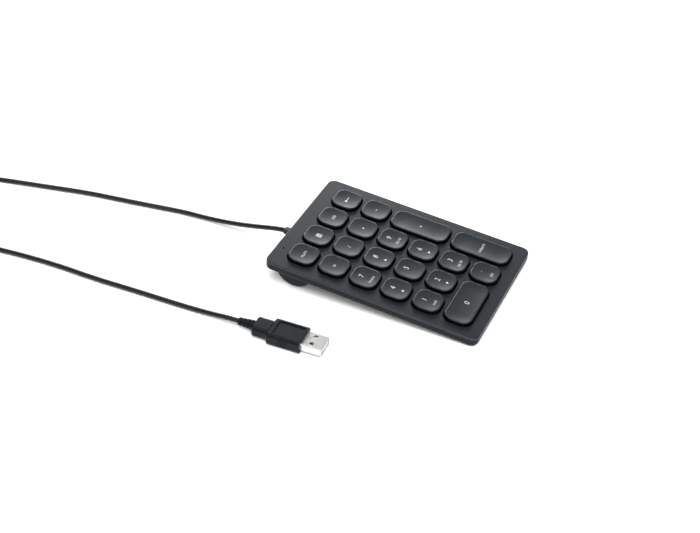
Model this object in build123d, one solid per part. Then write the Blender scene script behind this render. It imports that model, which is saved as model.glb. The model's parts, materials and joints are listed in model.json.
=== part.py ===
from build123d import *
import math
import os

# Numeric keypad with 21 low-profile keys, a round foot bar under its back edge and a USB lead.
#
# Row frame: millimetres, the desk is z = 0, y runs from the front edge to the cable edge,
# x to the user's right, origin on the desk under the middle of the case.
# Deck frame: the same axes tilted with the case, origin on top of the deck at the middle of
# the case, z out of the deck. Everything but the lead is built there, then set on the desk.

# ---- key field -------------------------------------------------------------------------
key_pitch = 19.0          # centre to centre, both ways
key_size = 16.6           # a single cap, across
key_corner = 5.6          # cap's corner radius in plan
key_rise = 1.8            # cap's edge above the deck, at the middle of a side
key_skirt = 2.4           # cap's side, edge to bottom
key_wall = 1.0            # cap's side wall
key_roof = 0.7            # cap's top wall
key_edge = 0.4            # rounding of the rim
dish_depth = 0.6          # hollow of the top, side to middle
key_travel = 1.5          # full stroke of every key
key_gap = 0.45            # cap to the side of its well

# ---- case ------------------------------------------------------------------------------
side_margin = 6.7         # outer keys to the case side
front_margin = 7.2        # outer keys to the front edge
back_margin = 9.3         # outer keys to the cable edge
case_corner = 4.5         # corner radius in plan
case_wall = 1.6
floor_wall = 0.9
deck_wall = 1.2
cover_edge = 1.5          # top cover's rim, seen from the side
cover_round = 0.5
seam = 0.3                # open joint between the cover and the housing
seam_bevel = 0.25
under_round = 1.5
lip_wall = 1.0            # cover's inner lip, inside the housing wall
lip_depth = 3.4
lip_gap = 0.1
well_clear = 0.2          # floor of the well under a pressed cap
well_floor = 0.8
well_web = 0.75           # wall outside the outermost wells

# ---- foot bar and feet -----------------------------------------------------------------
bar_radius = 11.5
bar_drop = 2.6            # bar's axis below the deck
bar_from_back = 16.8      # bar's axis to the cable edge
bar_inset = 3.4           # bar's end to the case side
bar_end_round = 1.5
bar_wall = 1.6
pad_proud = 0.3           # rear pads below the bar
pad_seat = 0.9            # their height, most of it let into the bar
pad_length = 12.0
pad_width = 4.0
pad_inset = 13.7          # pad's middle to the case side
foot_radius = 4.0
foot_height = 0.8         # front feet below the underside, at their middle
foot_seat = 0.4           # their recess
foot_from_front = 9.0
foot_inset = 10.7

# ---- plunger and its sleeve ------------------------------------------------------------
plunger_size = 8.4
plunger_wall = 0.9
plunger_fit = 0.08        # each side
rib_width = 1.0
sleeve_wall = 1.0
sleeve_clear = 0.1        # top of the sleeve under a pressed cap
lug_width = 1.6
lug_proud = 0.35
lug_height = 0.6
lug_fit = 0.1
stop_gap = 0.05
stop_wall = 0.35          # of the sleeve above the lugs

# ---- contact stack on the floor --------------------------------------------------------
plate_sheet = 0.3
membrane_sheet = 0.1      # each of the three
mat_sheet = 0.3
stack_gap = 0.05          # sleeves and bosses stop this far above the mat
press_gap = 0.1           # plunger above the mat at the end of its stroke
dome_base = 3.1           # radii
dome_top = 1.5
dome_height = 2.5
dome_wall = 0.55
contact_hole = 1.8        # spacer's hole under each dome, radius
stack_inset = 1.2         # sheets inside the cover's lip
stack_back = 9.8          # sheets' back edge to the cable edge
post_hole_fit = 0.3       # sheets clear of the screw posts

# ---- stabiliser wires under the three double keys ---------------------------------------
wire_radius = 0.35
wire_arm = 7.0            # bar to foot
wire_clear = 0.11         # clips to the sleeve
wire_margin = 4.8         # arm to the end of the cap
wire_foot = 1.9           # foot beyond its arm
wire_lift = 0.5           # foot's middle above the floor of the well
wire_fit = 0.06           # in the cap's clips
clip_length = 1.6
clip_from_end = 8.8
clip_wall = 0.5
clip_hold = 0.3           # clip's lips below the wire's middle
hook_length = 1.2
hook_wall = 0.25
hook_slack = 0.3          # along the deck, for the foot's slide
hook_fit = 0.08           # across it

# ---- screws ----------------------------------------------------------------------------
post_radius = 2.1
screw_radius = 0.9
screw_head = 1.8
screw_head_height = 0.7
screw_length = 3.0
screw_sink = 0.1          # head below the underside
screw_clear = 0.2
screw_fit = 0.02          # its thread in the post
recess_width = 2.2        # cross in the head, point to point
recess_slot = 0.45
recess_depth = 0.4
boss_height = 0.7         # housing's boss above the floor

# ---- controller board in the foot bar ---------------------------------------------------
board_length = 62.0
board_side = 1.05          # board's lower edges to the inside of the bar
board_sheet = 1.0
board_lift = 3.5          # board's underside above the inside of the bar
standoff_radius = 2.0
standoff_inset = 4.0
tail_width = 16.0
tail_offset = 12.0        # tail's middle, to the user's right
clamp_length = 18.0
clamp_width = 3.6
clamp_height = 1.6
clamp_edge = 1.5          # clamp to the edge of the board
clamp_bevel = 0.3
tail_length = 8.0         # flat part on the board
chip_size = (12.8, 7.5, 2.3)
chip_x = -4.0
crystal_size = (4.6, 3.8, 3.0)
crystal_x = -13.3
connector_size = (8.0, 4.6, 3.0)
connector_x = -20.5

# ---- indicator -------------------------------------------------------------------------
lens_radius = 0.75
lens_flange = 0.95
lens_height = 0.5         # its flange under the deck
lens_fit = 0.05
led_x = -28.3
led_from_back = 4.7
led_radius = 0.9
led_height = 1.6
lead_radius = 0.25
lead_space = 1.0
lead_edge = 1.2           # leads' holes to the edge of the board
lead_clear = 1.0          # leads behind the stack

# ---- lead and its gland ----------------------------------------------------------------
cord_diameter = 3.0
gland_x = -9.5
gland_width = 5.2
gland_height = 3.4
gland_drop = 3.55         # middle below the deck
gland_reach = 4.0         # beyond the case
gland_step = 0.2          # snout smaller than its part in the wall, all round
gland_droop = 8.0         # degrees, snout below the line of the deck
gland_bevel = 0.4
gland_flange = 1.1
gland_flange_lip = 0.5
gland_round = 1.2

# the lead's route on the desk, gland to coil, then coil to plug
run_out = [
    (-9.5, 72.6, 11.5),
    (-9.6, 79.3, 10.1),
    (-9.5, 88.3, 7.9),
    (-9.0, 99.3, 5.4),
    (-8.5, 111.5, 3.3),
    (-8.1, 124.0, 1.9),
    (-8.2, 136.0, 1.52),
    (-10.4, 151.0, 1.52),
    (-13.6, 172.0, 1.52),
    (-16.9, 198.0, 1.52),
    (-22.6, 224.0, 1.52),
    (-27.4, 247.0, 1.52),
    (-31.8, 265.5, 1.52),
    (-38.8, 278.2, 1.52),
    (-48.4, 286.0, 1.52),
    (-60.3, 288.7, 1.52),
]
run_back = [
    (-91.4, 265.0, 10.6),
    (-91.5, 257.5, 10.2),
    (-91.0, 249.0, 8.6),
    (-90.0, 239.5, 5.6),
    (-88.4, 229.5, 2.9),
    (-86.6, 218.5, 1.52),
    (-84.6, 200.0, 1.52),
    (-83.4, 175.0, 1.52),
    (-84.1, 150.0, 1.52),
    (-83.2, 125.0, 1.52),
    (-82.9, 100.5, 1.52),
    (-82.4, 86.0, 1.52),
    (-82.5, 75.6, 2.3),
]
plug_straight = 7.0       # the lead runs straight into the plug over this length
coil_centre = (-70.0, 267.0)
coil_inner = 13.0
coil_outer = 23.5
coil_height = 12.2        # four layers of the lead

# ---- plug ------------------------------------------------------------------------------
plug_x = -81.2            # where the shell leaves the grip
plug_y = 19.6
plug_turn = 2.0           # degrees, about the vertical
grip_width = 15.6
grip_height = 7.6
grip_length = 19.8
grip_corner = 2.0
grip_bevel = 0.8          # rear shoulders of the grip and the neck
panel_width = 11.0        # sunk panels above and below
panel_length = 15.5
panel_front = 1.3         # from the shell's end of the grip
panel_depth = 0.45
panel_corner = 0.9
rib_count = 4             # grooves in each side of the grip
rib_pitch = 1.3
rib_groove = 0.65
rib_depth = 0.3
rib_height = 4.4
rib_middle = 9.7          # from the shell's end
dimple_radius = 0.4       # mould mark behind the upper panel
dimple_depth = 0.25
neck_width = 11.2
neck_height = 6.6
neck_length = 9.6
relief_length = 9.4
relief_rear = 2.3         # radii
relief_front = 2.9
relief_rings = 4
relief_groove = 0.7
relief_gap = 0.8
relief_root = 1.0         # its core inside the neck
shell_width = 12.0
shell_height = 4.5
shell_wall = 0.3
shell_length = 12.0
shell_grip = 6.0          # length held inside the grip
shell_corner = 0.6
tongue_width = 10.8
tongue_height = 1.85
window_size = 2.2
window_space = 5.8
window_back = 5.5         # from the grip
tongue_setback = 0.5      # behind the shell's open end
contact_width = 1.1
contact_sheet = 0.15
contact_space = 2.2
contact_long = 9.0
contact_short = 8.0

# ---- worked out from the sizes above -----------------------------------------------------
columns = 4
rows = 6
case_width = (columns - 1) * key_pitch + key_size + 2 * side_margin
case_depth = (rows - 1) * key_pitch + key_size + front_margin + back_margin
field_y = (front_margin - back_margin) / 2
half_width = case_width / 2
half_depth = case_depth / 2
skirt_bottom = key_rise - key_skirt
well_depth = key_travel - skirt_bottom + well_clear
well_bottom = -(well_depth + well_floor)
sleeve_top = key_rise - dish_depth - key_roof - key_travel - sleeve_clear
plunger_bottom = sleeve_top - stop_wall - stop_gap - lug_height
mat_top = plunger_bottom - key_travel - press_gap
membrane_top = mat_top - mat_sheet
plate_top = membrane_top - 3 * membrane_sheet
floor_top = plate_top - plate_sheet
case_height = floor_wall - floor_top
housing_top = -(cover_edge + seam)
sleeve_bottom = mat_top + stack_gap
dome_peak = mat_top + dome_height
bar_y = half_depth - bar_from_back
bar_z = -bar_drop
foot_y = -half_depth + foot_from_front
foot_z = -(case_height + foot_height)
bore = plunger_size + 2 * plunger_fit
clip_side = wire_radius + wire_fit + clip_wall
wire_offset = bore / 2 + sleeve_wall + wire_clear + clip_side
wire_rest = -well_depth + wire_lift + key_travel
wire_swing = math.asin(key_travel / wire_arm)
boss_top = floor_top + boss_height
screw_seat = -case_height + screw_sink + screw_head_height
screw_tip = screw_seat + screw_length
bar_inner = bar_radius - bar_wall
board_bottom = bar_z - bar_inner + board_lift
board_drop = -(board_bottom + board_sheet)
board_width = 2 * (math.sqrt(bar_inner ** 2 - (bar_inner - board_lift) ** 2) - board_side)
led_y = half_depth - led_from_back
lead_places = [led_x - lead_space / 2, led_x + lead_space / 2]
lead_y = bar_y + board_width / 2 - lead_edge
drop_y = half_depth - stack_back + lead_clear
gland_top = -gland_drop + gland_height / 2
gland_bottom = -gland_drop - gland_height / 2
dish_radius = ((key_size / 2) ** 2 + dish_depth ** 2) / (2 * dish_depth)

# the desk touches the front feet and is tangent to the rear pads
stand_radius = bar_radius + pad_proud
stand_reach = math.hypot(bar_y - foot_y, bar_z - foot_z)
stand_slope = math.asin(stand_radius / stand_reach)
tilt = stand_slope - math.atan2(bar_z - foot_z, bar_y - foot_y)
tilt_cos = math.cos(tilt)
tilt_sin = math.sin(tilt)
back_reach = half_depth * tilt_cos + (case_height - under_round) * tilt_sin
front_reach = half_depth * tilt_cos - cover_round * tilt_sin
desk_y = (front_reach - back_reach) / 2
desk_z = stand_radius - (bar_y * tilt_sin + bar_z * tilt_cos)
on_desk = Pos(0, desk_y, desk_z) * Rot(math.degrees(tilt), 0, 0)
pad_y = desk_y + bar_y * tilt_cos - bar_z * tilt_sin
in_plug = Pos(plug_x, plug_y, grip_height / 2) * Rot(0, 0, plug_turn)
plug_length = grip_length + neck_length + relief_length

# name: (column, row, columns wide, rows deep), from the back left corner
keys = {
    "num": (0, 0, 1, 1),
    "calculator": (1, 0, 1, 1),
    "tab": (2, 0, 1, 1),
    "backspace": (3, 0, 1, 1),
    "equals": (0, 1, 1, 1),
    "divide": (1, 1, 1, 1),
    "multiply": (2, 1, 1, 1),
    "minus": (3, 1, 1, 1),
    "7": (0, 2, 1, 1),
    "8": (1, 2, 1, 1),
    "9": (2, 2, 1, 1),
    "plus": (3, 2, 1, 2),
    "4": (0, 3, 1, 1),
    "5": (1, 3, 1, 1),
    "6": (2, 3, 1, 1),
    "1": (0, 4, 1, 1),
    "2": (1, 4, 1, 1),
    "3": (2, 4, 1, 1),
    "return": (3, 4, 1, 2),
    "0": (0, 5, 2, 1),
    "decimal": (2, 5, 1, 1),
}
# screw posts: right of this column, in front of this row, where four caps' corners meet
posts = [(0, 1), (2, 1), (1, 2), (0, 3), (2, 3), (1, 4)]


def key_place(column, row, wide, deep):
    """Middle of a key in the deck frame, and its cap's size."""
    x = (column + (wide - 1) / 2 - (columns - 1) / 2) * key_pitch
    y = ((rows - 1) / 2 - row - (deep - 1) / 2) * key_pitch + field_y
    spare = key_pitch - key_size
    return x, y, wide * key_pitch - spare, deep * key_pitch - spare


def stabilised(wide, deep):
    return wide * deep > 1


def post_place(column, row):
    x = (column + 0.5 - (columns - 1) / 2) * key_pitch
    y = ((rows - 1) / 2 - row - 0.5) * key_pitch + field_y
    return x, y


def slab(width, depth, corner, bottom, top, x=0.0, y=0.0):
    """Upright prism with rounded corners."""
    outline = Plane.XY.offset(bottom) * Pos(x, y) * RectangleRounded(width, depth, corner)
    return extrude(outline, top - bottom)


def block(width, depth, bottom, top, x=0.0, y=0.0):
    return Pos(x, y, (bottom + top) / 2) * Box(width, depth, top - bottom)


def post(radius, bottom, top, x=0.0, y=0.0):
    return Pos(x, y, (bottom + top) / 2) * Cylinder(radius, top - bottom)


def save(name, shape):
    export_step(shape, "parts/" + name + ".step")


def save_on_case(name, shape):
    save(name, on_desk * shape)


# ---- keys ------------------------------------------------------------------------------
def dish(width, depth, below):
    """What a cap's top is hollowed by: a trough with round ends, this far below the surface."""
    radius = dish_radius + below
    centre = key_rise - dish_depth + dish_radius
    reach = max(width, depth) - key_size
    if reach < 1:
        return Pos(0, 0, centre) * Sphere(radius)
    turn = Rot(0, 90, 0) if width > depth else Rot(90, 0, 0)
    trough = Pos(0, 0, centre) * turn * Cylinder(radius, reach)
    along = (reach / 2, 0) if width > depth else (0, reach / 2)
    ends = [Pos(sign * along[0], sign * along[1], centre) * Sphere(radius) for sign in (-1, 1)]
    return trough + ends


def across(width, depth):
    """Turns what is drawn for a deep key to suit a wide one."""
    return Rot(0, 0, 90 if width > depth else 0)


def clips(width, depth):
    """Two open clips under the cap that hold the stabiliser wire's bar."""
    length = max(width, depth)
    bottom = wire_rest - clip_hold
    found = []
    for sign in (-1, 1):
        y = sign * (length / 2 - clip_from_end)
        clip = block(2 * clip_side, clip_length, bottom, key_rise + dish_depth, wire_offset, y)
        found.append(clip)
    bar = Pos(wire_offset, 0, wire_rest) * Rot(90, 0, 0) * Cylinder(wire_radius + wire_fit, length)
    return across(width, depth) * (Part() + found - bar)


def key_cap(width, depth):
    """Cap with its plunger: a thin dished shell on a square tube with a cross rib inside."""
    peak = key_rise + dish_depth
    shell = slab(width, depth, key_corner, skirt_bottom, peak) - dish(width, depth, 0)
    rim = [edge for edge in shell.edges() if edge.bounding_box().min.Z > key_rise - dish_depth]
    shell = fillet(rim, key_edge)
    cavity = slab(width - 2 * key_wall, depth - 2 * key_wall, key_corner - key_wall, skirt_bottom, peak)
    cavity -= dish(width, depth, key_roof)
    inside = plunger_size - 2 * plunger_wall
    stem = block(plunger_size, plunger_size, plunger_bottom, peak)
    stem -= block(inside, inside, plunger_bottom, peak)
    stem += block(inside, rib_width, dome_peak + stop_gap, peak)
    stem += block(rib_width, inside, dome_peak + stop_gap, peak)
    if max(width, depth) > key_size:
        stem += clips(width, depth)
    stem -= dish(width, depth, key_roof / 2)
    lug_y = (plunger_size + lug_proud) / 2
    for sign in (-1, 1):
        stem += block(lug_width, lug_proud, plunger_bottom, plunger_bottom + lug_height, 0, sign * lug_y)
    return shell - cavity + stem


def stabiliser_wire(width, depth):
    """Bar in the cap's clips, an arm at each end and feet that turn outwards into the hooks."""
    end = max(width, depth) / 2 - wire_margin
    foot_x = wire_offset - wire_arm * math.cos(wire_swing)
    low = wire_rest - key_travel
    route = Polyline(
        (foot_x, -end - wire_foot, low),
        (foot_x, -end, low),
        (wire_offset, -end, wire_rest),
        (wire_offset, end, wire_rest),
        (foot_x, end, low),
        (foot_x, end + wire_foot, low),
    )
    start = Plane(origin=route @ 0, z_dir=route % 0)
    wire = sweep(start * Circle(wire_radius), path=route, transition=Transition.RIGHT)
    return across(width, depth) * wire


def wire_hooks(width, depth):
    """Eyes on the floor of the well that the wire's feet turn and slide in."""
    end = max(width, depth) / 2 - wire_margin + wire_foot - hook_length / 2 - hook_fit
    low = wire_rest - key_travel
    foot_x = wire_offset - wire_arm * (1 + math.cos(wire_swing)) / 2
    tall = wire_radius + hook_fit
    wide = wire_radius + hook_slack
    found = []
    for sign in (-1, 1):
        eye = block(2 * (wide + hook_wall), hook_length, -well_depth, low + tall + hook_wall)
        eye -= block(2 * wide, hook_length, low - tall, low + tall)
        found.append(Pos(foot_x, sign * end, 0) * eye)
    return across(width, depth) * (Part() + found)


# ---- case ------------------------------------------------------------------------------
def top_cover():
    """Deck with a well and a plunger sleeve for each key, an inner lip and the screw posts."""
    cover = slab(case_width, case_depth, case_corner, -cover_edge, 0)
    cover = fillet(cover.faces().sort_by(Axis.Z)[-1].edges(), cover_round)
    lip_out = case_wall + lip_gap
    lip_in = lip_out + lip_wall
    cover += slab(case_width - 2 * lip_out, case_depth - 2 * lip_out, case_corner - lip_out,
                  -lip_depth, -deck_wall)
    cover -= slab(case_width - 2 * lip_in, case_depth - 2 * lip_in, case_corner - lip_in,
                  -lip_depth, -deck_wall)
    border = key_gap + well_web
    tray_width = (columns - 1) * key_pitch + key_size + 2 * border
    tray_depth = (rows - 1) * key_pitch + key_size + 2 * border
    cover += slab(tray_width, tray_depth, key_corner + border, well_bottom, -deck_wall, 0, field_y)
    wells = []
    sleeves = []
    bores = []
    for name, spot in keys.items():
        x, y, width, depth = key_place(*spot)
        wells.append(slab(width + 2 * key_gap, depth + 2 * key_gap, key_corner + key_gap,
                          -well_depth, cover_round, x, y))
        sleeves.append(block(bore + 2 * sleeve_wall, bore + 2 * sleeve_wall,
                             sleeve_bottom, sleeve_top, x, y))
        bores.append(block(bore, bore, sleeve_bottom, cover_round, x, y))
        groove_top = plunger_bottom + lug_height + stop_gap
        bores.append(block(lug_width + 2 * lug_fit, bore + 2 * lug_proud,
                           sleeve_bottom, groove_top, x, y))
        if stabilised(*spot[2:]):
            sleeves.append(Pos(x, y, 0) * wire_hooks(width, depth))
    cover -= wells
    for spot in posts:
        x, y = post_place(*spot)
        sleeves.append(post(post_radius, boss_top + stack_gap, -deck_wall, x, y))
        bores.append(post(screw_radius + screw_fit, boss_top, screw_tip + screw_clear, x, y))
    cover += sleeves
    cover -= bores
    cover -= post(lens_radius + lens_fit, -deck_wall, 0, led_x, led_y)
    notch = gland_width + 2 * (gland_flange_lip + lip_gap)
    cover -= block(notch, 2 * lip_in, -lip_depth, gland_top, gland_x, half_depth)
    return cover


def foot_bar(radius, length, top):
    """Cylinder along x under the back of the case, cut level at the top."""
    bar = Pos(0, bar_y, bar_z) * Rot(0, 90, 0) * Cylinder(radius, length)
    return bar - block(length, 2 * radius, top, bar_z + radius, 0, bar_y)


def bottom_housing():
    """Tray with a hollow round bar under its back edge for the controller board."""
    tray = slab(case_width, case_depth, case_corner, -case_height, housing_top)
    tray = chamfer(tray.faces().sort_by(Axis.Z)[-1].edges(), seam_bevel)
    tray = fillet(tray.faces().sort_by(Axis.Z)[0].edges(), under_round)
    bar_length = case_width - 2 * bar_inset
    bar = Pos(0, bar_y, bar_z) * Rot(0, 90, 0) * Cylinder(bar_radius, bar_length)
    bar = fillet(bar.edges().filter_by(GeomType.CIRCLE), bar_end_round)
    bar -= block(case_width, 2 * bar_radius, floor_top, bar_z + bar_radius, 0, bar_y)
    tray += bar
    tray -= slab(case_width - 2 * case_wall, case_depth - 2 * case_wall, case_corner - case_wall,
                 floor_top, 0)
    tray -= foot_bar(bar_inner, bar_length - 2 * bar_wall, 0)
    for sign in (-1, 1):
        x = sign * (board_length / 2 - standoff_inset)
        stand = post(standoff_radius, bar_z - bar_radius + bar_wall / 2, board_bottom, x, bar_y)
        tray += stand - post(screw_radius + screw_fit, board_bottom - screw_length, board_bottom, x, bar_y)
        foot_x = sign * (half_width - foot_inset)
        tray -= post(foot_radius, -case_height, -case_height + foot_seat, foot_x, foot_y)
        pad_x = sign * (half_width - pad_inset)
        tray -= on_desk.inverse() * pad_recess(pad_x)
    for spot in posts:
        x, y = post_place(*spot)
        tray += post(post_radius, floor_top, boss_top, x, y)
        tray -= post(screw_head + screw_clear, -case_height, screw_seat, x, y)
        tray -= post(screw_radius + screw_clear, screw_seat, boss_top, x, y)
    tray -= block(gland_width, 3 * case_wall, gland_bottom, 0, gland_x, half_depth)
    return tray


def pad_recess(x):
    """Seat of a rear pad, in the row frame."""
    return block(pad_length, pad_width, 0, pad_seat, x, pad_y)


def front_foot(x):
    """Round rubber foot whose underside is cut to lie flat on the desk."""
    foot = post(foot_radius, 2 * foot_z, -case_height + foot_seat, x, foot_y)
    return on_desk * foot - block(2 * case_width, 2 * case_depth, 4 * foot_z, 0)


# ---- contact stack -----------------------------------------------------------------------
def sheet(bottom, thickness):
    """One of the flat layers under the keys, with holes round the screw posts."""
    inset = case_wall + lip_gap + lip_wall + stack_inset
    front = -half_depth + inset
    back = half_depth - stack_back
    layer = slab(case_width - 2 * inset, back - front, key_corner / 2,
                 bottom, bottom + thickness, 0, (front + back) / 2)
    holes = []
    for spot in posts:
        x, y = post_place(*spot)
        holes.append(post(post_radius + post_hole_fit, bottom, bottom + thickness, x, y))
    return layer - holes


def spacer():
    bottom = plate_top + membrane_sheet
    layer = sheet(bottom, membrane_sheet)
    holes = []
    for spot in keys.values():
        x, y, width, depth = key_place(*spot)
        holes.append(post(contact_hole, bottom, bottom + membrane_sheet, x, y))
    return layer - holes


def lower_membrane():
    """Sheet with a tail that folds under and lies on the controller board."""
    layer = sheet(plate_top, membrane_sheet)
    outer = (plate_top + membrane_sheet + board_drop) / 2
    middle = plate_top + membrane_sheet - outer
    back = half_depth - stack_back
    ring = Circle(outer) - Circle(outer - membrane_sheet) - Pos(-outer, 0) * Rectangle(2 * outer, 4 * outer)
    side = Plane(origin=(tail_offset - tail_width / 2, back, middle), x_dir=(0, 1, 0), z_dir=(1, 0, 0))
    layer += extrude(side * ring, tail_width)
    layer += block(tail_width, tail_length, -board_drop, -board_drop + membrane_sheet,
                   tail_offset, back - tail_length / 2)
    return layer


def dome_mat():
    """One rubber sheet with a hollow dome under each plunger."""
    mat = sheet(membrane_top, mat_sheet)
    domes = []
    hollows = []
    for spot in keys.values():
        x, y, width, depth = key_place(*spot)
        domes.append(Pos(x, y, mat_top + dome_height / 2) * Cone(dome_base, dome_top, dome_height))
        inner = dome_height + mat_sheet - dome_wall
        hollows.append(Pos(x, y, membrane_top + inner / 2)
                       * Cone(dome_base - dome_wall, dome_top - dome_wall, inner))
    return mat + domes - hollows


# ---- controller board ----------------------------------------------------------------------
def controller_board():
    board = block(board_length, board_width, board_bottom, -board_drop, 0, bar_y)
    for sign in (-1, 1):
        x = sign * (board_length / 2 - standoff_inset)
        board -= post(screw_radius + screw_clear, board_bottom, -board_drop, x, bar_y)
    for x in lead_places:
        board -= block(3 * lead_radius, 3 * lead_radius, board_bottom, -board_drop, x, lead_y)
    return board


def machine_screw(head_up, x, y, seat, length):
    """Pan screw with a cross recess; seat is the face under its head."""
    shank = post(screw_radius, -length, 0)
    head = post(screw_head, 0, screw_head_height)
    head = chamfer(head.faces().sort_by(Axis.Z)[-1].edges(), screw_head_height / 3)
    floor = screw_head_height - recess_depth
    for turn in (0, 90):
        head -= Rot(0, 0, turn) * block(recess_width, recess_slot, floor, screw_head_height)
    screw = shank + head
    return Pos(x, y, seat) * (screw if head_up else Rot(180, 0, 0) * screw)


def board_parts():
    """Controller chip, crystal and the lead's connector."""
    found = []
    for size, x in ((chip_size, chip_x), (crystal_size, crystal_x), (connector_size, connector_x)):
        length, width, height = size
        found.append(block(length, width, -board_drop, -board_drop + height, x, bar_y))
    return found


def tail_clamp():
    """Bar that presses the membrane's tail onto the board."""
    seat = -board_drop + membrane_sheet
    y = bar_y + board_width / 2 - clamp_width / 2 - clamp_edge
    bar = block(clamp_length, clamp_width, seat, seat + clamp_height, tail_offset, y)
    return chamfer(bar.faces().sort_by(Axis.Z)[-1].edges(), clamp_bevel)


def indicator():
    """Flat-topped lamp whose square leads drop to the controller board behind the stack."""
    top = -(deck_wall + lens_height + stop_gap)
    bottom = top - led_height
    parts = [post(led_radius, bottom, top, led_x, led_y)]
    shelf = (floor_top + bottom) / 2
    route = [
        (led_y, bottom + led_height / 2),
        (led_y, shelf),
        (drop_y, shelf),
        (drop_y, -board_drop + board_sheet),
        (lead_y, -board_drop + board_sheet),
        (lead_y, board_bottom - board_sheet / 2),
    ]
    for x in lead_places:
        side = Plane(origin=(x - lead_radius, 0, 0), x_dir=(0, 1, 0), z_dir=(1, 0, 0))
        strip = trace(Polyline(*route), 2 * lead_radius)
        parts.append(extrude(side * strip, 2 * lead_radius))
    return Part() + parts


def indicator_lens():
    """Clear plug in the deck that carries the lamp's light."""
    stem = post(lens_radius, -deck_wall, 0, led_x, led_y)
    return stem + post(lens_flange, -deck_wall - lens_height, -deck_wall, led_x, led_y)


# ---- lead -------------------------------------------------------------------------------
def gland_seat(droop):
    """Plane of the grommet's section at the outside of the back wall."""
    turn = math.radians(droop)
    return Plane(origin=(gland_x, half_depth, -gland_drop), x_dir=(-1, 0, 0),
                 z_dir=(0, math.cos(turn), -math.sin(turn)))


def gland():
    """Soft grommet: a flange behind the back wall, a neck through it and a drooping snout."""
    through = RectangleRounded(gland_width, gland_height, gland_round)
    snout = RectangleRounded(gland_width - 2 * gland_step, gland_height - 2 * gland_step, gland_round)
    body = extrude(gland_seat(0) * through, -case_wall)
    outer = extrude(gland_seat(gland_droop).offset(-gland_step) * snout, gland_reach + gland_step)
    outer = chamfer(outer.faces().sort_by(Axis.Y)[-1].edges(), gland_bevel)
    wide = gland_width + 2 * gland_flange_lip
    y = half_depth - case_wall - gland_flange / 2
    return body + outer + block(wide, gland_flange, floor_top, gland_top, gland_x, y)


def cord(name, points):
    """Round lead along straight runs joined by arcs as large as the runs allow."""
    points = [Vector(*point) for point in points]
    runs = [after - before for before, after in zip(points, points[1:])]
    radii = []
    for before, after in zip(runs, runs[1:]):
        shorter = min(before.length, after.length)
        radii.append(0.45 * shorter / math.tan(math.radians(before.get_angle(after)) / 2))
    route = FilletPolyline(*points, radius=radii)
    start = Plane(origin=route @ 0, z_dir=route % 0)
    tube = sweep(start * Circle(cord_diameter / 2), path=route)
    area = math.pi * cord_diameter ** 2 / 4
    print(name, "length", round(route.length, 1), "volume ratio", round(tube.volume / (area * route.length), 4))
    print(name, "radii", [round(radius, 1) for radius in radii])
    return tube


def coil():
    """Outer shape of the rest of the lead, wound in a flat coil."""
    x, y = coil_centre
    return post(coil_outer, 0, coil_height, x, y) - post(coil_inner, 0, coil_height, x, y)


# ---- plug: y runs from the shell's open end to the lead, z = 0 on the shell's middle --------
def lengthways(outline, start, end):
    facing = Plane(origin=(0, start, 0), x_dir=(-1, 0, 0), z_dir=(0, 1, 0))
    return extrude(facing * outline, end - start)


def grip_panels():
    """Cutters for the sunk panels and the dimple behind the upper one."""
    middle = panel_front + panel_length / 2
    cutters = []
    for sign in (-1, 1):
        face = sign * grip_height / 2
        sheet_middle = face - sign * panel_depth / 2
        cutters.append(slab(panel_width, panel_length, panel_corner, sheet_middle - panel_depth / 2,
                            sheet_middle + panel_depth / 2, 0, middle))
    behind = (panel_front + panel_length + grip_length) / 2
    cutters.append(post(dimple_radius, grip_height / 2 - dimple_depth, grip_height / 2, 0, behind))
    return cutters


def grip_grooves():
    """Cutters for the upright finger grooves in both sides."""
    cutters = []
    for sign in (-1, 1):
        for step in range(rib_count):
            y = rib_middle + (step - (rib_count - 1) / 2) * rib_pitch
            x = sign * (grip_width - rib_depth) / 2
            cutters.append(block(rib_depth, rib_groove, -rib_height / 2, rib_height / 2, x, y))
    return cutters


def plug_grip():
    """Moulded grip, stepped neck and ringed strain relief in one piece."""
    grip = lengthways(RectangleRounded(grip_width, grip_height, grip_corner), 0, grip_length)
    grip = chamfer(grip.faces().sort_by(Axis.Y)[-1].edges(), grip_bevel)
    grip = grip - grip_panels() - grip_grooves()
    neck = lengthways(RectangleRounded(neck_width, neck_height, grip_corner), grip_length,
                      grip_length + neck_length)
    neck = chamfer(neck.faces().sort_by(Axis.Y)[-1].edges(), grip_bevel)
    start = grip_length + neck_length
    pitch = relief_length / relief_rings
    outline = [(start - relief_root, 0)]
    for ring in range(relief_rings):
        radius = relief_front + (relief_rear - relief_front) * ring / (relief_rings - 1)
        near = start + ring * pitch
        outline += [(near - relief_root if ring == 0 else near, radius - relief_groove)]
        outline += [(near + relief_gap, radius - relief_groove), (near + relief_gap, radius)]
        outline += [(near + pitch, radius)]
    outline += [(start + relief_length, 0)]
    profile = Plane.XY * make_face(Polyline(*[(r, y) for y, r in outline], close=True))
    relief = revolve(profile, Axis.Y)
    socket = lengthways(RectangleRounded(shell_width, shell_height, shell_corner), 0, shell_grip)
    return grip + neck + relief - socket


def plug_shell():
    """Folded steel sleeve with latch windows above and below."""
    outer = lengthways(RectangleRounded(shell_width, shell_height, shell_corner), -shell_length, shell_grip)
    inner = RectangleRounded(shell_width - 2 * shell_wall, shell_height - 2 * shell_wall,
                             shell_corner - shell_wall)
    sleeve = outer - lengthways(inner, -shell_length, shell_grip)
    for sign in (-1, 1):
        sleeve -= block(window_size, window_size, -shell_height, shell_height,
                        sign * window_space / 2, -window_back)
    return sleeve


def plug_tongue():
    """Plastic insert: a tongue under the contacts and a block that closes the rear."""
    low = -shell_height / 2 + shell_wall
    high = -low
    tongue = block(tongue_width, shell_length - tongue_setback + shell_grip, low, low + tongue_height,
                   0, (shell_grip - shell_length + tongue_setback) / 2)
    rear = block(tongue_width, shell_grip, low, high, 0, shell_grip / 2)
    return tongue + rear


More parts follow.
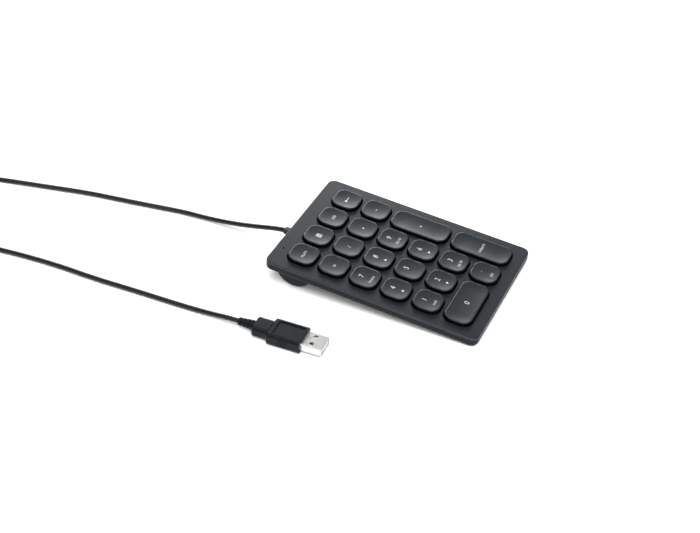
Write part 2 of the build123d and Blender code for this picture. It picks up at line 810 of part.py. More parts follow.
def plug_contacts():
    """Four gilt strips on the tongue; the outer pair reaches further forward."""
    base = -shell_height / 2 + shell_wall + tongue_height
    strips = []
    for place in (-1.5, -0.5, 0.5, 1.5):
        reach = contact_long if abs(place) > 1 else contact_short
        strips.append(block(contact_width, reach, base, base + contact_sheet,
                            place * contact_space, -reach / 2))
    return strips


# ---- build -------------------------------------------------------------------------------
os.makedirs("parts", exist_ok=True)
save_on_case("top_cover", top_cover())
save_on_case("bottom_housing", bottom_housing())
save_on_case("support_plate", sheet(floor_top, plate_sheet))
save_on_case("membrane_lower", lower_membrane())
save_on_case("membrane_spacer", spacer())
save_on_case("membrane_upper", sheet(plate_top + 2 * membrane_sheet, membrane_sheet))
save_on_case("dome_mat", dome_mat())
save_on_case("controller_board", controller_board())
save_on_case("board_parts", Compound(board_parts()))
save_on_case("tail_clamp", tail_clamp())
save_on_case("indicator_led", indicator())
save_on_case("indicator_lens", indicator_lens())
save_on_case("cable_gland", gland())
case_screws = [machine_screw(False, *post_place(*spot), screw_seat, screw_length) for spot in posts]
save_on_case("case_screws", Compound(case_screws))
stand_x = board_length / 2 - standoff_inset
board_screws = [machine_screw(True, x, bar_y, -board_drop, screw_length) for x in (-stand_x, stand_x)]
save_on_case("board_screws", Compound(board_screws))
foot_x = half_width - foot_inset
save("front_feet", Compound([front_foot(-foot_x), front_foot(foot_x)]))
pad_x = half_width - pad_inset
save("rear_pads", Compound([pad_recess(-pad_x), pad_recess(pad_x)]))

caps = {}
for name, spot in keys.items():
    x, y, width, depth = key_place(*spot)
    if (width, depth) not in caps:
        caps[width, depth] = key_cap(width, depth)
    save_on_case("key_" + name, Pos(x, y, 0) * caps[width, depth])
    if stabilised(*spot[2:]):
        save_on_case("wire_" + name, Pos(x, y, 0) * stabiliser_wire(width, depth))

gland_mouth = on_desk * gland_seat(gland_droop).offset(gland_reach).location
relief_mouth = in_plug * Pos(0, plug_length, 0)
relief_lead = in_plug * Pos(0, plug_length + plug_straight, 0)
save("cord_keypad_run", cord("cord_keypad_run", [tuple(gland_mouth.position)] + run_out))
save("cord_coil", coil())
back = run_back + [tuple(relief_lead.position), tuple(relief_mouth.position)]
save("cord_plug_run", cord("cord_plug_run", back))
save("plug_grip", in_plug * plug_grip())
save("plug_shell", in_plug * plug_shell())
save("plug_tongue", in_plug * plug_tongue())
save("plug_contacts", in_plug * Compound(plug_contacts()))
print("tilt", round(math.degrees(tilt), 3), "case", round(case_width, 2), "x", round(case_depth, 2))
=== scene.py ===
import bmesh
import bpy
import json
import math
from mathutils import Matrix, Quaternion, Vector


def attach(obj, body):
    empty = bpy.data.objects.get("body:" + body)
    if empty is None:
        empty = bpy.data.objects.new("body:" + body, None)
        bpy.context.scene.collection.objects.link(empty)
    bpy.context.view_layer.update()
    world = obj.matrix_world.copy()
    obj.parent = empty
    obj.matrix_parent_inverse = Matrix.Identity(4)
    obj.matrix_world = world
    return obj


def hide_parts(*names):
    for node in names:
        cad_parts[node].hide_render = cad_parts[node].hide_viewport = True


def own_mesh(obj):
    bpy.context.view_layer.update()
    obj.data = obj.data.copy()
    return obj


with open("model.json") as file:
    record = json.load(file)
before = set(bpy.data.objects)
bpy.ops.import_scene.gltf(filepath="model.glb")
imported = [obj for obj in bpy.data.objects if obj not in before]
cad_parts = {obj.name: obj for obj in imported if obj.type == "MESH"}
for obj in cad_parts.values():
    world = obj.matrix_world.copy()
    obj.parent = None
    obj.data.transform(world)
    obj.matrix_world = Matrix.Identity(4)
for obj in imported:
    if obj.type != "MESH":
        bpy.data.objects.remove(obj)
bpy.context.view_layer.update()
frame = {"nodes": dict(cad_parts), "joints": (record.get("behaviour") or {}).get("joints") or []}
mm = 0.001  # one millimetre in metres
print("keypad frame loaded")


# camera

cameraSet = {
    "aim": (-0.01650, 0.02306, 0.00605),  # point that the camera turns about
    "azimuth": -65.673,  # degrees, 0 looks along +Y
    "elevation": 39.248,
    "roll": 1.066,
    "distance": 0.78902,
    "lens": 71.675,
}


def makeCamera():
    azimuth = math.radians(cameraSet["azimuth"])
    elevation = math.radians(cameraSet["elevation"])
    level = math.cos(elevation)
    back = Vector((math.sin(azimuth) * level, -math.cos(azimuth) * level, math.sin(elevation)))
    camera = bpy.data.objects.new("camera", bpy.data.cameras.new("camera"))
    bpy.context.scene.collection.objects.link(camera)
    camera.data.lens = cameraSet["lens"]
    camera.location = Vector(cameraSet["aim"]) + back * cameraSet["distance"]
    camera.rotation_mode = "QUATERNION"
    lean = Quaternion((0, 0, 1), math.radians(cameraSet["roll"]))
    camera.rotation_quaternion = back.to_track_quat("Z", "Y") @ lean
    bpy.context.scene.camera = camera


makeCamera()
print("camera placed")


# materials

grainSet = {
    "patches": 90.0,  # noise scales: uneven colour, scuffs on edges, uneven gloss
    "scuffs": 900.0,
    "sheen": 600.0,
    "sheenSwing": 0.05,  # roughness either side of the finish's own
    "worn": 2.6,  # how much paler a rubbed edge is
    "bumpDepth": 0.03 * mm,
    "edgeSamples": 4,
}


def addNode(material, kind, **settings):
    node = material.node_tree.nodes.new(kind)
    for name, value in settings.items():
        setattr(node, name, value)
    return node


def join(material, start, end):
    material.node_tree.links.new(start, end)


def noiseOf(material, scale, detail=2.0):
    place = addNode(material, "ShaderNodeTexCoord")
    noise = addNode(material, "ShaderNodeTexNoise")
    noise.inputs["Scale"].default_value = scale
    noise.inputs["Detail"].default_value = detail
    join(material, place.outputs["Object"], noise.inputs["Vector"])
    return noise.outputs["Fac"]


def spread(material, value, low, high, fromLow=0.3, fromHigh=0.7):
    ranged = addNode(material, "ShaderNodeMapRange")
    ranged.inputs["From Min"].default_value = fromLow
    ranged.inputs["From Max"].default_value = fromHigh
    ranged.inputs["To Min"].default_value = low
    ranged.inputs["To Max"].default_value = high
    join(material, value, ranged.inputs["Value"])
    return ranged.outputs["Result"]


def mixColours(material, amount, first, second):
    mixer = addNode(material, "ShaderNodeMix", data_type="RGBA")
    join(material, amount, mixer.inputs["Factor"])
    for socket, colour in ((mixer.inputs["A"], first), (mixer.inputs["B"], second)):
        if isinstance(colour, tuple):
            socket.default_value = colour
        else:
            join(material, colour, socket)
    return mixer.outputs["Result"]


def shade(colour, factor):
    return tuple(min(1.0, part * factor) for part in colour) + (1.0,)


def edgeMask(material, radius):
    # 1 on an edge of that radius, 0 on a flat or hollow face
    soft = addNode(material, "ShaderNodeBevel", samples=grainSet["edgeSamples"])
    soft.inputs["Radius"].default_value = radius
    shape = addNode(material, "ShaderNodeNewGeometry")
    along = addNode(material, "ShaderNodeVectorMath", operation="DOT_PRODUCT")
    join(material, soft.outputs["Normal"], along.inputs[0])
    join(material, shape.outputs["Normal"], along.inputs[1])
    return spread(material, along.outputs["Value"], 1.0, 0.0, 0.80, 0.99), soft.outputs["Normal"]


def makeFinish(name, colour, rough, grain, grainDepth, mottle=0.08, edge=0.0, edgeRadius=0.0002,
               metal=0.0, gloss=0.5, coat=0.0, clear=0.0, paintedCoolLight=0.0):
    # moulded, painted or metal surface with grain, uneven colour and rubbed edges
    material = bpy.data.materials.new(name)
    material.use_nodes = True
    shader = material.node_tree.nodes["Principled BSDF"]
    shader.inputs["Metallic"].default_value = metal
    shader.inputs["Specular IOR Level"].default_value = gloss
    # painted cool light: a blue tint on every reflection, standing in for the colour of a cool studio light
    shader.inputs["Specular Tint"].default_value = (1 - paintedCoolLight, 1 - paintedCoolLight * 0.4, 1.0, 1.0)
    shader.inputs["Coat Weight"].default_value = coat
    shader.inputs["Transmission Weight"].default_value = clear
    patches = spread(material, noiseOf(material, grainSet["patches"], 4.0), 0.0, 1.0)
    tone = mixColours(material, patches, shade(colour, 1 - mottle), shade(colour, 1 + mottle))
    wear, softNormal = edgeMask(material, edgeRadius)
    if edge > 0:
        marks = noiseOf(material, grainSet["scuffs"], 3.0)
        scuffs = spread(material, marks, 0.0, edge, 0.45, 0.75)
        amount = addNode(material, "ShaderNodeMath", operation="MULTIPLY")
        join(material, wear, amount.inputs[0])
        join(material, scuffs, amount.inputs[1])
        tone = mixColours(material, amount.outputs["Value"], tone, shade(colour, grainSet["worn"]))
    join(material, tone, shader.inputs["Base Color"])
    uneven = noiseOf(material, grainSet["sheen"], 3.0)
    swing = grainSet["sheenSwing"]
    join(material, spread(material, uneven, rough - swing, rough + swing), shader.inputs["Roughness"])
    bump = addNode(material, "ShaderNodeBump")
    bump.inputs["Strength"].default_value = grainDepth
    bump.inputs["Distance"].default_value = grainSet["bumpDepth"]
    join(material, noiseOf(material, grain, 2.0), bump.inputs["Height"])
    join(material, softNormal, bump.inputs["Normal"])
    join(material, bump.outputs["Normal"], shader.inputs["Normal"])
    return material


# the blue reflection tints set below are painted cool light, not a colour of the plastics
finishes = {
    "deck": makeFinish("deckPlastic", (0.0050, 0.0070, 0.0095), 0.38, 5200, 0.35, edge=0.2, gloss=0.45,
                       paintedCoolLight=0.12),
    "housing": makeFinish("housingPlastic", (0.0040, 0.0048, 0.0055), 0.5, 4200, 0.4, edge=0.2, gloss=0.2,
                          paintedCoolLight=0.10),
    "keyTop": makeFinish("keyCoating", (0.0050, 0.0075, 0.0100), 0.38, 7000, 0.2, paintedCoolLight=0.14),
    "keySide": makeFinish("keyMoulding", (0.0005, 0.0008, 0.0012), 0.6, 3000, 0.2, gloss=0.05, paintedCoolLight=0.14),
    "print": makeFinish("keyPrint", (0.62, 0.65, 0.67), 0.5, 9000, 0.1, mottle=0.04),
    "cord": makeFinish("cordJacket", (0.0030, 0.0034, 0.0038), 0.30, 1500, 0.12, gloss=0.5),
    "gland": makeFinish("glandRubber", (0.007, 0.008, 0.009), 0.6, 2500, 0.3, gloss=0.4),
    "plug": makeFinish("plugPlastic", (0.0025, 0.0035, 0.0045), 0.40, 3800, 0.45, edge=0.2, gloss=0.18,
                       paintedCoolLight=0.12),
    "shell": makeFinish("plugSteel", (0.70, 0.70, 0.69), 0.34, 1200, 0.02, mottle=0.02, metal=1.0),
    "tongue": makeFinish("plugInsert", (0.75, 0.76, 0.76), 0.45, 2500, 0.15),
    "contact": makeFinish("contactGilt", (0.83, 0.60, 0.26), 0.22, 2600, 0.08, metal=1.0),
    "foot": makeFinish("footRubber", (0.018, 0.018, 0.019), 0.75, 2200, 0.6, gloss=0.3),
    "lens": makeFinish("lampLens", (0.0010, 0.0012, 0.0016), 0.30, 2000, 0.02, gloss=0.1),
    "lamp": makeFinish("lampResin", (0.30, 0.75, 0.38), 0.15, 2000, 0.05, clear=0.4),
    "plate": makeFinish("zincPlate", (0.60, 0.61, 0.60), 0.38, 1200, 0.15, mottle=0.12, metal=1.0),
    "film": makeFinish("membraneFilm", (0.55, 0.60, 0.58), 0.3, 1600, 0.08, clear=0.3),
    "dome": makeFinish("domeSilicone", (0.42, 0.43, 0.42), 0.62, 2600, 0.3, gloss=0.35),
    "board": makeFinish("boardLaminate", (0.015, 0.13, 0.05), 0.32, 2400, 0.12, mottle=0.15),
    "chips": makeFinish("chipResin", (0.018, 0.018, 0.018), 0.6, 5200, 0.4),
    "clamp": makeFinish("clampNylon", (0.60, 0.58, 0.52), 0.5, 2600, 0.2),
    "screw": makeFinish("screwZinc", (0.32, 0.31, 0.30), 0.35, 2200, 0.15, mottle=0.1, metal=1.0, edge=0.3),
    "wire": makeFinish("springWire", (0.58, 0.58, 0.57), 0.28, 3000, 0.1, metal=1.0),
}


def dressNode(node, finish):
    shown = frame["nodes"][node]
    shown.data.materials.clear()
    shown.data.materials.append(finishes[finish])


print("finishes mixed")


# lead: jacket from the case, round the put-away coil and back to the plug

leadSet = {
    "diameter": 3.0,
    "exit": (-9.5, 67.94, 11.94),
    "runOut": [
        (-9.5, 72.6, 11.5), (-9.6, 79.3, 10.1), (-9.5, 88.3, 7.9), (-9.0, 99.3, 5.4),
        (-8.5, 111.5, 3.3), (-8.1, 124.0, 1.9), (-8.2, 136.0, 1.52), (-10.4, 151.0, 1.52),
        (-13.6, 172.0, 1.52), (-16.9, 198.0, 1.52), (-22.6, 224.0, 1.52), (-27.4, 247.0, 1.52),
        (-31.8, 265.5, 1.52), (-38.8, 278.2, 1.52), (-48.4, 286.0, 1.52), (-60.3, 288.7, 1.52),
    ],
    "coilCentre": (-70.0, 267.0),
    "coilOuter": 22.2,  # middle of the outermost turn
    "coilPitch": 3.12,  # from turn to turn
    "coilLayer": 3.05,
    "coilLayers": 4,
    "coilLift": 0.02,  # jacket clear of the desk
    "coilStart": 66.0,  # degrees
    "coilEnd": 185.0,
    "coilWholeTurns": 9,
    "coilSteps": 16,  # points in one turn
    "coilClimb": 0.2,  # turns before and after a change of layer
    "runBack": [
        (-91.5, 257.5, 10.2), (-91.0, 249.0, 8.6), (-90.0, 239.5, 5.6), (-88.4, 229.5, 2.9),
        (-86.6, 218.5, 1.52), (-84.6, 200.0, 1.52), (-83.4, 175.0, 1.52), (-84.1, 150.0, 1.52),
        (-83.2, 125.0, 1.52), (-82.9, 100.5, 1.52), (-82.4, 86.0, 1.52), (-82.5, 75.6, 2.3),
        (-82.80, 65.37, 3.8), (-82.55, 58.38, 3.8),
    ],
}


def coilPoints(lead):
    turns = lead["coilWholeTurns"] + (lead["coilEnd"] - lead["coilStart"]) / 360
    perLayer = turns / lead["coilLayers"]
    count = round(turns * lead["coilSteps"])
    points = []
    for step in range(count + 1):
        turn = turns * step / count
        layer = min(int(turn / perLayer), lead["coilLayers"] - 1)
        inward = turn / perLayer - layer
        if layer % 2:
            inward = 1 - inward
        radius = lead["coilOuter"] - inward * perLayer * lead["coilPitch"]
        height = lead["diameter"] / 2 + lead["coilLift"]
        for change in range(1, lead["coilLayers"]):
            ramp = (turn - change * perLayer) / lead["coilClimb"] / 2 + 0.5
            ramp = min(max(ramp, 0.0), 1.0)
            height += lead["coilLayer"] * ramp * ramp * (3 - 2 * ramp)
        angle = math.radians(lead["coilStart"] + 360 * turn)
        points.append((lead["coilCentre"][0] + radius * math.cos(angle),
                       lead["coilCentre"][1] + radius * math.sin(angle), height))
    return points[1:]


def makeLead(lead):
    points = [lead["exit"]] + lead["runOut"] + coilPoints(lead) + lead["runBack"]
    curve = bpy.data.curves.new("leadJacket", "CURVE")
    curve.dimensions = "3D"
    line = curve.splines.new("NURBS")
    line.points.add(len(points) - 1)
    for knot, point in zip(line.points, points):
        knot.co = (*(part * mm for part in point), 1.0)
    line.order_u = 3
    line.use_endpoint_u = True
    line.resolution_u = 6
    curve.bevel_depth = lead["diameter"] / 2 * mm
    curve.bevel_resolution = 6
    curve.use_fill_caps = True
    jacket = bpy.data.objects.new("leadJacket", curve)
    bpy.context.scene.collection.objects.link(jacket)
    curve.materials.append(finishes["cord"])
    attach(jacket, "root")
    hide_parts("cord_keypad_run", "cord_coil", "cord_plug_run")
    return jacket


jacket = makeLead(leadSet)
print("lead laid")


# axes that lean with the case: x and y along the deck, z out of it

pressAxis = Vector(next(joint["axis"] for joint in frame["joints"] if joint["name"] == "press_5"))
lean = Matrix.Rotation(math.atan2(pressAxis.y, -pressAxis.z), 4, "X")
upright = lean.inverted()


def leaningBox(node):
    corners = [upright @ vertex.co for vertex in frame["nodes"][node].data.vertices]
    low = Vector([min(point[axis] for point in corners) for axis in range(3)])
    high = Vector([max(point[axis] for point in corners) for axis in range(3)])
    return low, high


deckHeight = leaningBox("top_cover")[1].z


def addPiece(name, points, faces, place, body, materials, choices=None):
    mesh = bpy.data.meshes.new(name)
    mesh.from_pydata([place @ Vector(point) for point in points], [], faces)
    for material in materials:
        mesh.materials.append(finishes[material])
    for index, face in enumerate(mesh.polygons):
        face.use_smooth = True
        if choices:
            face.material_index = choices[index]
    mesh.update()
    piece = bpy.data.objects.new(name, mesh)
    bpy.context.scene.collection.objects.link(piece)
    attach(piece, body)
    return piece


def weld(piece):
    tidy = bmesh.new()
    tidy.from_mesh(piece.data)
    bmesh.ops.remove_doubles(tidy, verts=tidy.verts, dist=0.002 * mm)
    tidy.to_mesh(piece.data)
    tidy.free()


# keycaps: thin dished shells, a grey coating over black moulding

capSet = {
    "single": 16.6 * mm,  # width of a one-key cap
    "corner": 5.6 * mm,
    "leastCorner": 0.3 * mm,
    "rise": 1.8 * mm,  # rim above the deck, at the middle of a side
    "skirt": 2.4 * mm,
    "wall": 1.0 * mm,
    "roof": 0.7 * mm,
    "dish": 0.6 * mm,
    "rim": 1.1 * mm,  # rounding of the top edge
    "rimSteps": 8,
    "coated": 5,  # steps of the rim below the coating's edge
    "hem": 0.12 * mm,  # rounding of the bottom edge
    "cornerSteps": 12,
    "sideSteps": 6,
    "rings": 14,
    "roofRings": 4,
}
stemSet = {
    "size": 8.4 * mm,
    "wall": 0.9 * mm,
    "rib": 1.0 * mm,
    "lug": (1.6 * mm, 0.35 * mm, 0.6 * mm),
    "ribLift": 0.75 * mm,  # rib's foot above the tube's
}


def capOutline(width, depth, inset):
    # rounded rectangle, counter-clockwise, always with the same number of points
    corner = max(capSet["corner"] - inset, capSet["leastCorner"])
    reachX = width / 2 - inset - corner
    reachY = depth / 2 - inset - corner
    outline = []
    for quarter, (signX, signY) in enumerate(((1, 1), (-1, 1), (-1, -1), (1, -1))):
        for step in range(capSet["cornerSteps"] + 1):
            angle = math.radians(90 * (quarter + step / capSet["cornerSteps"]))
            outline.append(Vector((signX * reachX + corner * math.cos(angle),
                                   signY * reachY + corner * math.sin(angle))))
        side = ((-2 * reachX, 0), (0, -2 * reachY), (2 * reachX, 0), (0, 2 * reachY))[quarter]
        along = Vector(side)
        last = outline[-1]
        for step in range(1, capSet["sideSteps"]):
            outline.append(last + along * (step / capSet["sideSteps"]))
    return outline


def spineOf(point, width, depth):
    # nearest point of the line along the middle of a cap
    reachX = (width - min(width, depth)) / 2
    reachY = (depth - min(width, depth)) / 2
    return Vector((max(-reachX, min(reachX, point.x)), max(-reachY, min(reachY, point.y))))


def topHeight(point, width, depth):
    # cap's top above the deck
    half = capSet["single"] / 2
    radius = (half * half + capSet["dish"] ** 2) / (2 * capSet["dish"])
    away = (point - spineOf(point, width, depth)).length
    return capSet["rise"] - capSet["dish"] + radius - math.sqrt(radius * radius - away * away)


def capShell(width, depth):
    # rings from the middle of the hollow underside, down the inside, up the outside, to the top's middle
    rings = []  # each a list of 3-D points
    kinds = []  # 0 for coating, 1 for bare moulding, one for each ring after the first

    def addRing(inset, height, kind):
        ring = []
        for point in capOutline(width, depth, inset):
            level = height(point) if callable(height) else height
            ring.append((point.x, point.y, level))
        rings.append(ring)
        kinds.append(kind)

    def addShrunk(inset, share, drop, kind):
        ring = []
        for point in capOutline(width, depth, inset):
            spine = spineOf(point, width, depth)
            near = spine + (point - spine) * share
            ring.append((near.x, near.y, topHeight(near, width, depth) - drop))
        rings.append(ring)
        kinds.append(kind)

    bottom = capSet["rise"] - capSet["skirt"]
    hem = capSet["hem"]
    for step in range(capSet["roofRings"] + 1):
        addShrunk(capSet["wall"], step / capSet["roofRings"], capSet["roof"], 1)
    addRing(capSet["wall"], bottom + hem, 1)
    addRing(capSet["wall"] - hem, bottom, 1)
    addRing(hem, bottom, 1)
    addRing(0, bottom + hem, 1)
    addRing(0, 0.0, 1)
    for step in range(capSet["rimSteps"] + 1):
        turn = math.radians(90 * step / capSet["rimSteps"])
        inset = capSet["rim"] * (1 - math.cos(turn))
        drop = capSet["rim"] * (1 - math.sin(turn))
        kind = 1 if step <= capSet["coated"] else 0
        addRing(inset, lambda point: topHeight(point, width, depth) - drop, kind)
    for step in range(1, capSet["rings"] + 1):
        addShrunk(capSet["rim"], 1 - step / capSet["rings"], 0, 0)

    count = len(rings[0])
    points = [point for ring in rings for point in ring]
    faces = []
    choices = []
    for index in range(1, len(rings)):
        for step in range(count):
            after = (step + 1) % count
            faces.append(((index - 1) * count + step, (index - 1) * count + after,
                          index * count + after, index * count + step))
            choices.append(kinds[index])
    return points, faces, choices


def boxPart(points, faces, choices, low, high):
    # adds a closed box to a mesh in the making
    start = len(points)
    for z in (low[2], high[2]):
        for x, y in ((low[0], low[1]), (high[0], low[1]), (high[0], high[1]), (low[0], high[1])):
            points.append((x, y, z))
    for face in ((0, 3, 2, 1), (4, 5, 6, 7), (0, 1, 5, 4), (1, 2, 6, 5), (2, 3, 7, 6), (3, 0, 4, 7)):
        faces.append(tuple(start + corner for corner in face))
        choices.append(1)


def stemParts(points, faces, choices, foot, top):
    # square plunger tube with a cross rib and its two retaining lugs
    half = stemSet["size"] / 2
    inner = half - stemSet["wall"]
    rib = stemSet["rib"] / 2
    lugWide, lugProud, lugTall = stemSet["lug"]
    ribFoot = foot + stemSet["ribLift"]
    boxPart(points, faces, choices, (-half, -half, foot), (half, -inner, top))
    boxPart(points, faces, choices, (-half, inner, foot), (half, half, top))
    boxPart(points, faces, choices, (-half, -inner, foot), (-inner, inner, top))
    boxPart(points, faces, choices, (inner, -inner, foot), (half, inner, top))
    boxPart(points, faces, choices, (-inner, -rib, ribFoot), (inner, rib, top))
    boxPart(points, faces, choices, (-rib, -inner, ribFoot), (rib, -rib, top))
    boxPart(points, faces, choices, (-rib, rib, ribFoot), (rib, inner, top))
    for low, high in ((-half - lugProud, -half), (half, half + lugProud)):
        boxPart(points, faces, choices, (-lugWide / 2, low, foot), (lugWide / 2, high, foot + lugTall))


def makeCap(name):
    node = "key_" + name
    low, high = leaningBox(node)
    width = high.x - low.x
    depth = high.y - low.y
    middle = (low + high) / 2
    place = lean @ Matrix.Translation((middle.x, middle.y, deckHeight))
    points, faces, choices = capShell(width, depth)
    roof = capSet["rise"] - capSet["dish"] - capSet["roof"] / 2
    stemParts(points, faces, choices, low.z - deckHeight, roof)
    piece = addPiece("cap_" + name, points, faces, place, node, ["keyTop", "keySide"], choices)
    weld(piece)
    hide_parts(node)
    return place, width, depth


capNames = [name[4:] for name in frame["nodes"] if name.startswith("key_")]
capPlaces = {name: makeCap(name) for name in capNames}
print(len(capNames), "keycaps moulded")


# printing on the caps: digits, signs and plain function words

printSet = {
    "digit": 4.4 * mm,  # letter sizes
    "word": 2.7 * mm,
    "name": 3.3 * mm,
    "sign": 4.0 * mm,
    "middle": 0.0,  # places of a mark along the cap, from its middle
    "digitBack": 2.4 * mm,
    "wordFront": -3.6 * mm,
    "thick": 0.02 * mm,
    "thin": 0.010,  # share of a letter's size taken off each side of its strokes
    "arrow": 1.6 * mm,
}
capPrint = {
    "num": [("num", "name", "middle")],
    "tab": [("tab", "name", "middle")],
    "return": [("return", "name", "middle")],
    "equals": [("=", "sign", "middle")],
    "divide": [("/", "sign", "middle")],
    "multiply": [("*", "sign", "middle")],
    "minus": [("−", "sign", "middle")],
    "plus": [("+", "sign", "middle")],
    "0": [("0", "digit", "middle")],
    "5": [("5", "digit", "digitBack")],
    "7": [("7", "digit", "digitBack"), ("home", "word", "wordFront")],
    "9": [("9", "digit", "digitBack"), ("pg up", "word", "wordFront")],
    "1": [("1", "digit", "digitBack"), ("end", "word", "wordFront")],
    "3": [("3", "digit", "digitBack"), ("pg dn", "word", "wordFront")],
    "decimal": [(".", "sign", "digitBack"), ("del", "word", "wordFront")],
    "8": [("8", "digit", "digitBack")],
    "4": [("4", "digit", "digitBack")],
    "6": [("6", "digit", "digitBack")],
    "2": [("2", "digit", "digitBack")],
}
capArrows = {"8": 90, "4": 180, "6": 0, "2": 270}  # the way each arrow points, degrees


def lettering(text, size):
    curve = bpy.data.curves.new("lettering", "FONT")
    curve.body = text
    curve.size = size
    curve.align_x = "CENTER"
    curve.extrude = printSet["thick"] / 2
    curve.offset = -printSet["thin"] * size
    curve.resolution_u = 4
    holder = bpy.data.objects.new("lettering", curve)
    mesh = bpy.data.meshes.new_from_object(holder)
    points = [vertex.co.copy() for vertex in mesh.vertices]
    faces = [tuple(face.vertices) for face in mesh.polygons]
    bpy.data.objects.remove(holder)
    bpy.data.meshes.remove(mesh)
    low = min(point.y for point in points)
    high = max(point.y for point in points)
    left = min(point.x for point in points)
    right = max(point.x for point in points)
    middle = Vector(((left + right) / 2, (low + high) / 2, 0))
    return [point - middle for point in points], faces


def flatShape(outlines):
    # thin plates from closed outlines
    points = []
    faces = []
    half = printSet["thick"] / 2
    for outline in outlines:
        start = len(points)
        count = len(outline)
        points += [Vector((x, y, half)) for x, y in outline]
        points += [Vector((x, y, -half)) for x, y in outline]
        faces.append(tuple(range(start, start + count)))
        faces.append(tuple(range(start + 2 * count - 1, start + count - 1, -1)))
        for step in range(count):
            after = (step + 1) % count
            faces.append((start + after, start + step, start + count + step, start + count + after))
    return points, faces


def arrowHead(turn, size):
    corners = [(0.5, 0.0), (-0.4, 0.55), (-0.4, -0.55)]
    angle = math.radians(turn)
    return [(size * (x * math.cos(angle) - y * math.sin(angle)),
             size * (x * math.sin(angle) + y * math.cos(angle))) for x, y in corners]


def rectangle(x, y, width, depth):
    return [(x - width / 2, y - depth / 2), (x + width / 2, y - depth / 2),
            (x + width / 2, y + depth / 2), (x - width / 2, y + depth / 2)]


backArrowSet = {
    "tip": -2.5 * mm,
    "neck": -1.0 * mm,  # where the head meets the bar
    "halfHead": 1.0 * mm,
    "barMiddle": 0.65 * mm,
    "bar": (3.7 * mm, 0.36 * mm),
}
calculatorSet = {
    "width": 2.6 * mm,
    "height": 3.3 * mm,
    "line": 0.28 * mm,
    "screenUp": 0.80 * mm,
    "screen": (1.9 * mm, 0.50 * mm),
    "pitchX": 0.70 * mm,
    "pitchY": 0.60 * mm,
    "topRow": 0.1 * mm,
    "key": (0.50 * mm, 0.42 * mm),
}


def backArrow():
    neck = backArrowSet["neck"]
    half = backArrowSet["halfHead"]
    bar = rectangle(backArrowSet["barMiddle"], 0, *backArrowSet["bar"])
    head = [(backArrowSet["tip"], 0), (neck, -half), (neck, half)]
    return flatShape([bar, head])


def calculatorSign():
    width = calculatorSet["width"]
    height = calculatorSet["height"]
    line = calculatorSet["line"]
    plates = [
        rectangle(0, height / 2 - line / 2, width, line),
        rectangle(0, -height / 2 + line / 2, width, line),
        rectangle(-width / 2 + line / 2, 0, line, height - 2 * line),
        rectangle(width / 2 - line / 2, 0, line, height - 2 * line),
        rectangle(0, calculatorSet["screenUp"], *calculatorSet["screen"]),
    ]
    for row in range(3):
        for column in range(3):
            x = (column - 1) * calculatorSet["pitchX"]
            y = calculatorSet["topRow"] - calculatorSet["pitchY"] * row
            plates.append(rectangle(x, y, *calculatorSet["key"]))
    return flatShape(plates)


def printCap(name):
    place, width, depth = capPlaces[name]
    marks = []
    for text, size, spot in capPrint.get(name, []):
        marks.append((lettering(text, printSet[size]), printSet[spot]))
    if name in capArrows:
        arrow = flatShape([arrowHead(capArrows[name], printSet["arrow"])])
        marks.append((arrow, printSet["wordFront"]))
    if name == "backspace":
        marks.append((backArrow(), printSet["middle"]))
    if name == "calculator":
        marks.append((calculatorSign(), printSet["middle"]))
    points = []
    faces = []
    for (shape, shapeFaces), shift in marks:
        start = len(points)
        for point in shape:
            spot = Vector((point.x, point.y + shift))
            level = topHeight(spot, width, depth) + printSet["thick"] / 2 + point.z
            points.append((spot.x, spot.y, level))
        faces += [tuple(start + corner for corner in face) for face in shapeFaces]
    piece = addPiece("print_" + name, points, faces, place, "key_" + name, ["print"])
    for face in piece.data.polygons:
        face.use_smooth = False
    return piece


for name in capNames:
    printCap(name)
print("caps printed")


# dome mat: its sheet, and a rubber dome under each key

domeSet = {
    "base": 3.1 * mm,  # radii
    "top": 1.5 * mm,
    "height": 2.5 * mm,
    "wall": 0.55 * mm,
    "shoulder": 0.88,  # share of the height where the cone turns in
    "shoulderOut": 0.12,  # share of the cone's taper left there
    "crown": 0.9,  # flat part of the top
    "sheetFloor": 0.1 * mm,  # rubber left over the hollow in the sheet
    "pressed": 0.4,  # share of the height left under a pressed key
    "steps": 32,
}


def domeShell(base, top, height, wall):
    # closed round shell, from the outer foot up over the top and down inside
    shoulder = top + domeSet["shoulderOut"] * (base - top)
    profile = [
        (base, 0), (shoulder, height * domeSet["shoulder"]), (top * domeSet["crown"], height), (0, height),
        (0, height - wall), (top - wall, height - wall), (base - wall, 0),
    ]
    points = []
    faces = []
    count = domeSet["steps"]
    for radius, level in profile:
        for step in range(count):
            angle = math.radians(360 * step / count)
            points.append((radius * math.cos(angle), radius * math.sin(angle), level))
    for index in range(len(profile)):
        below = index * count
        above = (index + 1) % len(profile) * count
        for step in range(count):
            after = (step + 1) % count
            faces.append((below + step, below + after, above + after, above + step))
    return points, faces


def makeMat():
    peak = leaningBox("dome_mat")[1].z
    sheetTop = peak - domeSet["height"]
    source = frame["nodes"]["dome_mat"].data
    points = []
    for vertex in source.vertices:
        spot = upright @ vertex.co
        if spot.z > peak - domeSet["wall"] / 2:
            spot.z = sheetTop
        elif spot.z > sheetTop + domeSet["sheetFloor"]:
            spot.z = sheetTop - domeSet["sheetFloor"]
        points.append(spot)
    faces = [tuple(face.vertices) for face in source.polygons]
    mat = addPiece("matSheet", points, faces, lean, "root", ["dome"])
    weld(mat)
    for face in mat.data.polygons:
        face.use_smooth = False
    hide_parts("dome_mat")
    shell = (domeSet["base"], domeSet["top"], domeSet["height"], domeSet["wall"])
    for name in capNames:
        middle = capPlaces[name][0].translation
        foot = lean @ Vector(((upright @ middle).x, (upright @ middle).y, sheetTop))
        points, faces = domeShell(*shell)
        place = Matrix.Translation(foot) @ lean
        dome = addPiece("dome_" + name, points, faces, place, "root", ["dome"])
        weld(dome)
        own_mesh(dome)


makeMat()
print("dome mat moulded")


# case, inner pieces and plug keep their own shapes

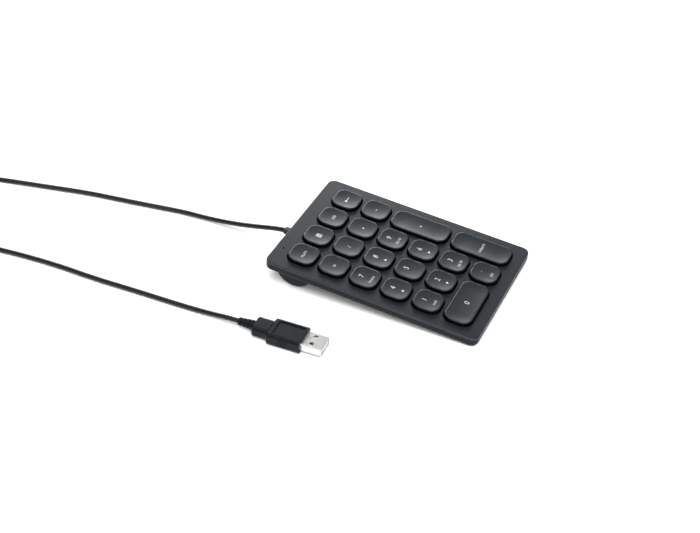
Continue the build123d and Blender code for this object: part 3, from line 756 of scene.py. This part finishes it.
nodeFinishes = {
    "top_cover": "deck",
    "bottom_housing": "housing",
    "support_plate": "plate",
    "membrane_lower": "film",
    "membrane_spacer": "film",
    "membrane_upper": "film",
    "controller_board": "board",
    "board_parts": "chips",
    "tail_clamp": "clamp",
    "indicator_led": "lamp",
    "indicator_lens": "lens",
    "cable_gland": "gland",
    "case_screws": "screw",
    "board_screws": "screw",
    "front_feet": "foot",
    "rear_pads": "foot",
    "wire_plus": "wire",
    "wire_return": "wire",
    "wire_0": "wire",
    "plug_grip": "plug",
    "plug_shell": "shell",
    "plug_tongue": "tongue",
    "plug_contacts": "contact",
}
for node, finish in nodeFinishes.items():
    dressNode(node, finish)
print("case and plug dressed")


# desk and studio light

deskSet = {
    "size": 6.0,
    "drop": 0.1 * mm,  # below the feet
    "colour": (0.95, 0.95, 0.95, 1.0),
    "rough": 0.8,
}
lightSet = {
    "far": {"place": (1.12, 0.74, 0.42), "size": (1.2, 0.5), "power": 16.0},
    "near": {"place": (-0.9, -0.5, 0.45), "size": (1.4, 0.4), "power": 5.0},
    "above": {"place": (-0.6, -0.3, 1.9), "size": (1.6, 1.6), "power": 56.0},
}


skySet = {"colour": (1, 1, 1, 1), "strength": 0.30}


def makeDesk():
    half = deskSet["size"] / 2
    mesh = bpy.data.meshes.new("desk")
    corners = [(-half, -half, 0), (half, -half, 0), (half, half, 0), (-half, half, 0)]
    mesh.from_pydata(corners, [], [(0, 1, 2, 3)])
    material = bpy.data.materials.new("deskPaper")
    material.use_nodes = True
    shader = material.node_tree.nodes["Principled BSDF"]
    shader.inputs["Base Color"].default_value = deskSet["colour"]
    shader.inputs["Roughness"].default_value = deskSet["rough"]
    mesh.materials.append(material)
    desk = bpy.data.objects.new("desk", mesh)
    desk.location.z = -deskSet["drop"]
    bpy.context.scene.collection.objects.link(desk)


def makeLight(name, light):
    data = bpy.data.lights.new(name, "AREA")
    data.shape = "RECTANGLE"
    data.size, data.size_y = light["size"]
    data.energy = light["power"]
    lamp = bpy.data.objects.new(name, data)
    bpy.context.scene.collection.objects.link(lamp)
    lamp.location = light["place"]
    away = Vector(light["place"]) - Vector(cameraSet["aim"])
    lamp.rotation_mode = "QUATERNION"
    lamp.rotation_quaternion = away.to_track_quat("Z", "Y")


def makeSky():
    world = bpy.data.worlds.new("studio")
    world.use_nodes = True
    sky = world.node_tree.nodes["Background"]
    sky.inputs["Color"].default_value = skySet["colour"]
    sky.inputs["Strength"].default_value = skySet["strength"]
    bpy.context.scene.world = world


makeDesk()
for name, light in lightSet.items():
    makeLight(name, light)
makeSky()
bpy.context.scene.view_settings.view_transform = "Standard"
print("desk and lights set")
